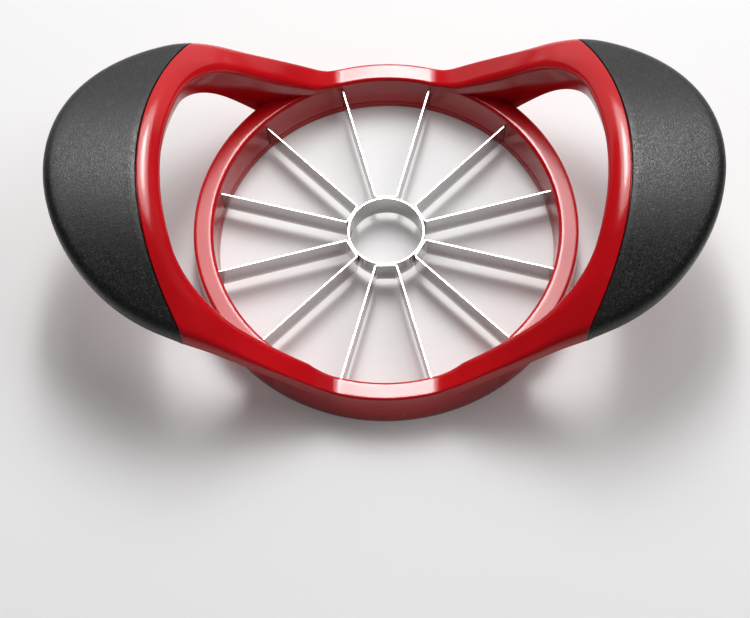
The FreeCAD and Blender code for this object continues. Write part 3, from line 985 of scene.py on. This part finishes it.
class SLICER_OT_grips(bpy.types.Operator):
    """Build the two soft grips over the outer part of the handles"""
    bl_idname = "slicer.grips"
    bl_label = "Soft grips"

    def execute(self, context):
        sizes = context.scene.slicer_sizes
        gap = sizes.grip_gap / MM
        tip = grip_corner(sizes)
        while Ray(tip, sizes).spare < GRIP_TIP:
            tip -= 0.02
        angles = both_sides(np.concatenate([[tip], rays_past(tip)]))
        right = swept("soft_grip_right", [grip_section(Ray(a, sizes), gap) for a in angles])
        left = mirrored(right, "soft_grip_left")
        for mesh, node in ((right, "grip_right"), (left, "grip_left")):
            item = new_object(mesh.name, mesh)
            dress(item, "grip_rubber", node)
        return {"FINISHED"}


def strip_mesh(sizes):
    """Middle line of one blade strip and the strip's section, told apart by attributes."""
    wide = sizes.blade_thickness / MM / 2
    base = CORE_OUTER + wide
    along = (cos(LEG_ANGLE), sin(LEG_ANGLE))
    hook = (TAB_RADIUS * along[0], TAB_RADIUS * along[1])
    end = (hook[0] - TAB_LENGTH * along[1], hook[1] + TAB_LENGTH * along[0])
    leg = [end, hook, (base, base * tan(LEG_ANGLE))]
    path = leg + [(x, -y) for x, y in leg[::-1]]
    side = [(wide, BLADE_FOOT + BLADE_BEVEL), (wide, BLADE_MIDDLE), (wide, BLADE_TOP - BLADE_NICK),
            (wide - BLADE_NICK, BLADE_TOP)]
    section = side + [(-x, z) for x, z in side[::-1]]
    section += [(-BLADE_EDGE / 2, BLADE_FOOT), (BLADE_EDGE / 2, BLADE_FOOT)]
    first, count = len(path), len(section)
    edges = [(i, i + 1) for i in range(first - 1)]
    edges += [(first + i, first + (i + 1) % count) for i in range(count)]
    points = [(x, y, 0.0) for x, y in path] + [(x, -z, 0.0) for x, z in section]
    mesh = mesh_from("strip", points, [], edges)
    corner = sizes.blade_corner
    bends = [0.0, TAB_BEND * MM, corner, corner, TAB_BEND * MM, 0.0] + [0.0] * count
    mesh.attributes.new("bend", "FLOAT", "POINT").data.foreach_set("value", bends)
    is_section = [False] * first + [True] * count
    mesh.attributes.new("section", "BOOLEAN", "POINT").data.foreach_set("value", is_section)
    return mesh


class SLICER_OT_blades(bpy.types.Operator):
    """Build the six bent blade strips"""
    bl_idname = "slicer.blades"
    bl_label = "Blade strips"

    def execute(self, context):
        tree = strip_tree()
        for node, degrees in STRIPS.items():
            item = new_object(node.replace("blade", "blade_strip"), strip_mesh(context.scene.slicer_sizes))
            shaped_by(item, tree, "blade_steel", turn=radians(degrees), corner_steps=6)
            dress(item, "blade_steel", node, STEEL_SHARP_ANGLE)
        return {"FINISHED"}


class SLICER_OT_core(bpy.types.Operator):
    """Build the round core cutter"""
    bl_idname = "slicer.core"
    bl_label = "Core cutter"

    def execute(self, context):
        outer, inner, nick = CORE_OUTER, CORE_OUTER - CORE_WALL, BLADE_NICK
        outline = [
            (outer, BLADE_FOOT + BLADE_BEVEL), (outer, BLADE_MIDDLE), (outer, BLADE_TOP - nick),
            (outer - nick, BLADE_TOP), (inner + nick, BLADE_TOP), (inner, BLADE_TOP - nick),
            (inner, BLADE_MIDDLE), (inner, BLADE_FOOT), (inner + BLADE_EDGE, BLADE_FOOT),
        ]
        item = ring_object("core_cutter", outline, CORE_MIDDLE, "blade_steel", steps=144)
        dress(item, "blade_steel", "core_ring", STEEL_SHARP_ANGLE)
        return {"FINISHED"}


class SLICER_OT_clamp(bpy.types.Operator):
    """Build the clamp ring under the blade ends, with its screw recesses"""
    bl_idname = "slicer.clamp"
    bl_label = "Clamp ring"

    def execute(self, context):
        low, high, edge = CLAMP_FOOT, CLAMP_TOP, CLAMP_FOOT + BEVEL
        outline = [(inner_radius(low) + BEVEL, low), (CLAMP_OUTER - BEVEL, low), (CLAMP_OUTER, edge),
                   (CLAMP_OUTER, high), (inner_radius(high), high), (inner_radius(edge), edge)]
        item = ring_object("lower_clamp_ring", outline, CLAMP_MIDDLE, "red_plastic")
        wide, narrow = SCREW_HEAD + CLEARANCE, SCREW_SHANK + CLEARANCE
        seat, top = SCREW_SEAT + SCREW_HEAD_DEPTH, CLAMP_TOP + CUT
        hole = [(0, -CUT), (wide, -CUT), (wide, seat), (narrow, seat), (narrow, top), (0, top)]
        combine(item, joined(at_screws(hole, 32)), "DIFFERENCE")
        tidy_mesh(item.data, FINE_MERGE)
        dress(item, "red_plastic", "clamp_ring")
        return {"FINISHED"}


class SLICER_OT_screws(bpy.types.Operator):
    """Build the six cross-recess screws of the clamp ring"""
    bl_idname = "slicer.screws"
    bl_label = "Clamp screws"

    def execute(self, context):
        head, seat, under = SCREW_HEAD, SCREW_SEAT, SCREW_SEAT + SCREW_HEAD_DEPTH
        outline = [(0, seat)] + [(head - inset, seat + rise) for inset, rise in SCREW_DOME]
        outline += [(head, under - SCREW_BEVEL), (head - SCREW_BEVEL, under), (SCREW_SHANK, under)]
        root = SCREW_SHANK - THREAD_DEPTH
        for z in np.arange(under + THREAD_START, SCREW_TIP - THREAD_END, THREAD_PITCH):
            outline += [(root, z), (SCREW_SHANK, z + THREAD_WIDTH / 2), (root, z + THREAD_WIDTH)]
        outline += [(SCREW_POINT, SCREW_TIP), (0, SCREW_TIP)]
        item = new_object("clamp_screw_set", lathe("screw", outline, 32))
        for x, y in ((head / 2, SCREW_DRIVE / 2), (SCREW_DRIVE / 2, head / 2)):
            combine(item, turned_box((-x, -y, 0), (x, y, seat + SCREW_DRIVE_DEPTH)), "DIFFERENCE")
        radius = SCREW_CIRCLE * MM
        shaped_by(item, circle_tree(), "screw_steel", count=len(SCREW_TURNS), radius=radius, turn=SCREW_TURN)
        dress(item, "screw_steel", "clamp_screws")
        return {"FINISHED"}


def add_lamp(name, energy):
    """Oval soft light, placed as LAMPS says."""
    size, place, aim, seen = LAMPS[name]
    data = bpy.data.lights.new(name, "AREA")
    data.shape = "ELLIPSE"
    data.size, data.size_y = size
    data.energy = energy
    item = new_object(name, data)
    item.location = place
    item.rotation_euler = (Vector(aim) - Vector(place)).to_track_quat("-Z", "Y").to_euler()
    item.visible_glossy = seen


def add_camera():
    """Camera in front of and above the slicer, turned slightly clockwise."""
    data = bpy.data.cameras.new("camera")
    data.sensor_width = 36.0
    data.lens = CAMERA_LENS
    data.clip_start, data.clip_end = 0.05, 50.0
    item = new_object("camera", data)
    place = Vector(CAMERA_PLACE)
    ahead = (Vector(CAMERA_AIM) - place).normalized()
    right = ahead.cross(Vector((0, 0, 1))).normalized()
    up = right.cross(ahead)
    turned_right = right * cos(CAMERA_ROLL) - up * sin(CAMERA_ROLL)
    turned_up = right * sin(CAMERA_ROLL) + up * cos(CAMERA_ROLL)
    axes = Matrix((turned_right, turned_up, -ahead)).transposed()
    item.matrix_world = Matrix.Translation(place) @ axes.to_4x4()
    bpy.context.scene.camera = item


def floor_mesh():
    """Square grid below the slicer."""
    places = np.linspace(-FLOOR_HALF, FLOOR_HALF, FLOOR_STEPS + 1)
    points = [(x, y, -FLOOR_DROP) for y in places for x in places]
    row = len(places)
    corners = [i + j * row for j in range(FLOOR_STEPS) for i in range(FLOOR_STEPS)]
    faces = [(a, a + 1, a + row + 1, a + row) for a in corners]
    return mesh_from("studio_floor", points, faces)


class SLICER_OT_stage(bpy.types.Operator):
    """Lay the pale floor and set the lights and the camera"""
    bl_idname = "slicer.stage"
    bl_label = "Floor, lights and camera"

    def execute(self, context):
        stage = context.scene.slicer_stage
        floor = new_object("studio_floor", floor_mesh())
        floor.data.materials.append(new_material("floor_paper", floor_paper, stage.floor, stage.floor_lift))
        for name in LAMPS:
            add_lamp(name, getattr(stage, name))
        world = bpy.data.worlds.new("room")
        tree = cleared(world)
        light = put(tree, "ShaderNodeBackground", {"Color": (1, 1, 1, 1), "Strength": stage.sky})
        add_node(tree, "ShaderNodeOutputWorld", {"Surface": light})
        context.scene.world = world
        context.scene.view_settings.view_transform = "Standard"
        add_camera()
        return {"FINISHED"}


class SLICER_PT_panel(bpy.types.Panel):
    """Sizes, colours and build steps of the apple slicer"""
    bl_idname = "SLICER_PT_panel"
    bl_label = "Apple Slicer"
    bl_space_type = "VIEW_3D"
    bl_region_type = "UI"
    bl_category = "Slicer"

    def draw(self, context):
        column = self.layout.column()
        for group in (context.scene.slicer_sizes, context.scene.slicer_finish, context.scene.slicer_stage):
            for key in group.__annotations__:
                column.prop(group, key)
            column.separator()
        for step in STEPS:
            column.operator(step.bl_idname)


STEPS = (SLICER_OT_stage, SLICER_OT_frame, SLICER_OT_grips, SLICER_OT_blades, SLICER_OT_core, SLICER_OT_clamp,
         SLICER_OT_screws)
CLASSES = (SlicerSizes, SlicerFinish, SlicerStage, *STEPS, SLICER_PT_panel)


def register():
    for item in CLASSES:
        bpy.utils.register_class(item)
    bpy.types.Scene.slicer_sizes = bpy.props.PointerProperty(type=SlicerSizes)
    bpy.types.Scene.slicer_finish = bpy.props.PointerProperty(type=SlicerFinish)
    bpy.types.Scene.slicer_stage = bpy.props.PointerProperty(type=SlicerStage)


def unregister():
    del bpy.types.Scene.slicer_stage
    del bpy.types.Scene.slicer_finish
    del bpy.types.Scene.slicer_sizes
    for item in reversed(CLASSES):
        bpy.utils.unregister_class(item)


def main():
    register()
    bpy.ops.slicer.stage()
    bpy.ops.slicer.frame()
    bpy.ops.slicer.grips()
    bpy.ops.slicer.blades()
    bpy.ops.slicer.core()
    bpy.ops.slicer.clamp()
    bpy.ops.slicer.screws()


if __name__ == "__main__":
    main()
